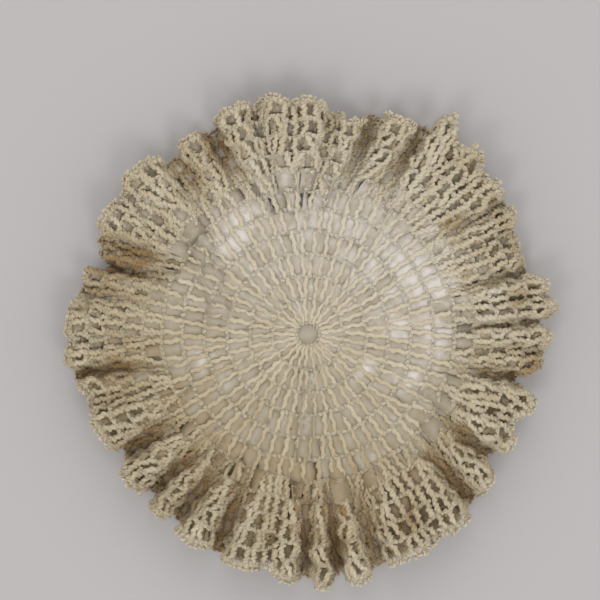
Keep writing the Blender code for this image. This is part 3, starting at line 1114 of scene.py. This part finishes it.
def cotton():
    """Ecru crochet cotton: patches of cream and tan, the ply of the thread and its fine fibres."""
    material, tree, shader = new_material("ecru_crochet_cotton")
    finish = {
        "Roughness": 0.9,
        "Specular IOR Level": 0.25,
        "Sheen Weight": 0.25,
        "Sheen Roughness": 0.5,
        "Subsurface Weight": 0.35,
        "Subsurface Radius": (1.0, 0.97, 0.92),
        "Subsurface Scale": 1.5 * MM,
    }
    set_values(shader, finish)
    place = node(tree, "ShaderNodeTexCoord")
    patches = node(tree, "ShaderNodeTexNoise", {"Scale": PATCH_SCALE, "Detail": 4.0})
    fibres = node(tree, "ShaderNodeTexNoise", {"Scale": FIBRE_SCALE, "Detail": 3.0})
    thread = node(tree, "ShaderNodeUVMap", uv_map="thread")
    ply = node(
        tree,
        "ShaderNodeTexWave",
        {"Scale": PLY_SCALE, "Distortion": 0.6},
        wave_type="BANDS",
        bands_direction="DIAGONAL",
    )
    tone = node(tree, "ShaderNodeAttribute", attribute_name="tone")
    patch_shift = node(
        tree, "ShaderNodeMath", {1: PATCH_DEPTH, 2: -0.5 * PATCH_DEPTH}, operation="MULTIPLY_ADD"
    )
    sum_tone = node(tree, "ShaderNodeMath", operation="ADD")
    ramp = colour_ramp(tree, TONE_COLOURS)
    shades = {"To Min": FLECK_DARKEST, "To Max": FLECK_PALEST}
    fleck = node(tree, "ShaderNodeMapRange", shades)
    dye = node(tree, "ShaderNodeVectorMath", operation="SCALE")
    relief = node(tree, "ShaderNodeMath", {1: 0.5}, operation="MULTIPLY_ADD")
    bump = node(tree, "ShaderNodeBump", {"Strength": 0.6, "Distance": 0.25 * MM})

    joins = (
        (place, "Object", patches, "Vector"),
        (place, "Object", fibres, "Vector"),
        (thread, "UV", ply, "Vector"),
        (patches, "Fac", patch_shift, 0),
        (patch_shift, 0, sum_tone, 0),
        (tone, "Fac", sum_tone, 1),
        (sum_tone, 0, ramp, "Fac"),
        (fibres, "Fac", fleck, "Value"),
        (ramp, "Color", dye, 0),
        (fleck, "Result", dye, "Scale"),
        (dye, "Vector", shader, "Base Color"),
        (ply, "Fac", relief, 0),
        (fibres, "Fac", relief, 2),
        (relief, 0, bump, "Height"),
        (bump, "Normal", shader, "Normal"),
    )
    wire(tree, joins)
    return material


def starch():
    """Dried starch: a thin, cloudy, cream film, through which a little of the table shows. Drawn
    brown, the same film is painted shade in the gaps under the folds; drawn white, it is painted
    light.
    """
    material, tree, shader = new_material("starch_painted_light_and_shade")
    set_values(shader, {"Roughness": 0.5, "Specular IOR Level": 0.3, "Alpha": FILM_COVER})
    place = node(tree, "ShaderNodeTexCoord")
    clouds = node(tree, "ShaderNodeTexNoise", {"Scale": CLOUD_SCALE, "Detail": 4.0})
    whiteness = node(tree, "ShaderNodeAttribute", attribute_name="tone")
    sum_white = node(tree, "ShaderNodeMath", operation="ADD")
    ramp = colour_ramp(tree, FILM_COLOURS)
    bump = node(tree, "ShaderNodeBump", {"Strength": 0.3, "Distance": 0.2 * MM})

    joins = (
        (place, "Object", clouds, "Vector"),
        (clouds, "Fac", sum_white, 0),
        (whiteness, "Fac", sum_white, 1),
        (sum_white, 0, ramp, "Fac"),
        (ramp, "Color", shader, "Base Color"),
        (clouds, "Fac", bump, "Height"),
        (bump, "Normal", shader, "Normal"),
    )
    wire(tree, joins)
    return material


def length_of(place):
    """How long the line of a round is, laid out straight."""
    return float(round_table(ROUNDS[place].chain * MM)[1][-1])


def flat_strip(first, last):
    """Width and length of the strip that a ruffled band makes when it is laid out flat."""
    wide = (ROUNDS[last].chain - ROUNDS[first].chain) * MM
    return wide, 0.5 * (length_of(first) + length_of(last))


# The pieces of the work, each from its first chain to its last.
FLAT_LAST = 6
Band = namedtuple("Band", "name first last")
BANDS = (
    Band(name="ruffle_first_rounds", first=6, last=8),
    Band(name="ruffle_third_round", first=8, last=9),
    Band(name="ruffle_fourth_round", first=9, last=10),
    Band(name="ruffle_rim_round", first=10, last=11),
)
TUCKS = (
    Band(name="tucked_first_rounds", first=7, last=9),
    Band(name="tucked_rim_rounds", first=9, last=11),
)


def make_doily():
    """Every piece of the crochet."""
    yarn = cotton()
    parts = [starting_ring()]
    for place in range(1, FLAT_LAST + 1):
        parts += [round_posts(place), round_chain(place)]
    centre = joined("flat_centre", parts, yarn)
    paste = starch()
    films = joined("starch_films", starch_films(), paste)
    # Painted shade: brown films in the gaps of the valleys and under the folds.
    brown = joined("painted_shade_films", painted_shade_films(), paste)
    border = joined("looped_edging", edging(), yarn)
    for band in BANDS:
        parts = []
        for place in range(band.first + 1, band.last + 1):
            parts += [round_posts(place), round_chain(place)]
        piece = joined(band.name, parts, yarn)
        flat_strip(band.first, band.last)
    for band in TUCKS:
        parts, kept = tucked_rounds(band.first, band.last)
        piece = joined(band.name, parts, yarn)
        wide, long = flat_strip(band.first, band.last)


# The table, the light and the camera.
PHOTO_SIDE = 600
FRAME_WIDTH = 0.3336
CAMERA_HEIGHT = 1.1
SENSOR = 36.0
CENTRE_RIGHT_OF_MIDDLE = 8
CENTRE_BELOW_MIDDLE = 34
FLOOR_COLOUR = (0.515, 0.504, 0.518, 1.0)
FLOOR_SIDE = 6.0
WORLD_COLOUR = (1.0, 0.975, 0.945, 1.0)
WORLD_STRENGTH = 0.68
WARM_WHITE = (1.0, 0.98, 0.95)
Lamp = namedtuple("Lamp", "name place size watts colour")
LAMPS = (
    Lamp(name="right_lamp", place=(0.9, -1.3, 3.1), size=0.9, watts=16.3, colour=WARM_WHITE),
    Lamp(name="left_lamp", place=(-0.9, -1.3, 3.1), size=0.9, watts=17.0, colour=WARM_WHITE),
    Lamp(name="far_lamp", place=(0.0, 1.6, 2.0), size=1.5, watts=8.0, colour=(1.0, 0.98, 0.96)),
)


def make_table():
    """The plain pale table."""
    bpy.ops.object.select_all(action="DESELECT")
    bpy.ops.mesh.primitive_plane_add(size=FLOOR_SIDE, location=(0.0, 0.0, 0.0))
    floor = added("floor")
    material, _, shader = new_material("pale_table")
    set_values(shader, {"Base Color": FLOOR_COLOUR, "Roughness": 0.8, "Specular IOR Level": 0.2})
    floor.data.materials.append(material)


def make_light():
    """Soft studio light: an even sky and three large lamps."""
    world = bpy.data.worlds.new("studio")
    bpy.context.scene.world = world
    world.use_nodes = True
    background = world.node_tree.nodes["Background"]
    background.inputs["Color"].default_value = WORLD_COLOUR
    background.inputs["Strength"].default_value = WORLD_STRENGTH
    for lamp in LAMPS:
        light = bpy.data.lights.new(lamp.name, "AREA")
        light.size = lamp.size
        light.energy = lamp.watts
        light.color = lamp.colour
        stand = bpy.data.objects.new(lamp.name, light)
        stand.location = lamp.place
        stand.rotation_euler = (-Vector(lamp.place)).to_track_quat("-Z", "Y").to_euler()
        bpy.context.scene.collection.objects.link(stand)


def make_camera():
    """Straight above the table, framed as the photograph is."""
    pixel = FRAME_WIDTH / PHOTO_SIDE
    lens = bpy.data.cameras.new("camera")
    lens.sensor_width = SENSOR
    lens.lens = SENSOR * CAMERA_HEIGHT / FRAME_WIDTH
    lens.clip_end = 20.0
    camera = bpy.data.objects.new("camera", lens)
    camera.location = (
        DISC_CENTRE.x - CENTRE_RIGHT_OF_MIDDLE * pixel,
        DISC_CENTRE.y + CENTRE_BELOW_MIDDLE * pixel,
        CAMERA_HEIGHT,
    )
    bpy.context.scene.collection.objects.link(camera)
    bpy.context.scene.camera = camera


make_doily()
make_table()
make_light()
make_camera()
bpy.context.scene.view_settings.view_transform = "Standard"

bpy.context.view_layer.update()
